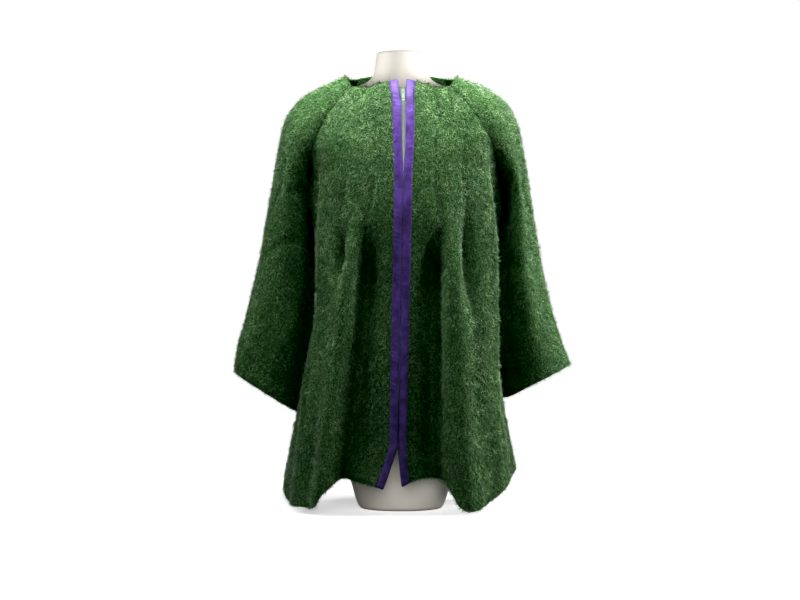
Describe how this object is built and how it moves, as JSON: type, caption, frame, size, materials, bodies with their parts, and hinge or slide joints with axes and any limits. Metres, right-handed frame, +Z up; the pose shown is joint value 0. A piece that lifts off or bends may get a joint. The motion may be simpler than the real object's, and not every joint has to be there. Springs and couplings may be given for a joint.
{
  "type": "mohair jacket on a dress form",
  "caption": "Brushed mohair jacket with wide raglan sleeves, tucked flaring fronts and a satin-bound zip front, standing on a limbless dress form.",
  "frame": {"origin": "on the underside of the dress form's base, below its neck", "axes": "+Z up along the form, -Y out of the zipped front, +X to the wearer's left"},
  "size_m": [0.634, 0.3444, 0.855],
  "materials": {
    "mohair": "brushed green mohair with a soft heathered nap",
    "satin": "violet satin bias binding",
    "zip_tape": "pale mint woven tape",
    "zip_plastic": "pale mint plastic and enamel",
    "form_shell": "smooth cream white"
  },
  "bodies": {
    "jacket": {"front_right": "mohair", "front_left": "mohair", "back": "mohair", "sleeve_right": "mohair", "sleeve_left": "mohair", "binding_right": "satin", "binding_left": "satin", "zip_tape_right": "zip_tape", "zip_tape_left": "zip_tape", "zip_chain": "zip_plastic", "zip_slider": "zip_plastic", "zip_stop": "zip_plastic", "dress_form": "form_shell"},
    "pull_tab": {"zip_pull_tab": "zip_plastic"}
  },
  "joints": [
    {"name": "pull_tab_swing", "type": "hinge", "parent": "jacket", "child": "pull_tab", "pos_m": [0.004, -0.09556, 0.7725], "axis": [-1, 0, 0], "range_deg": [0, 165]}
  ]
}
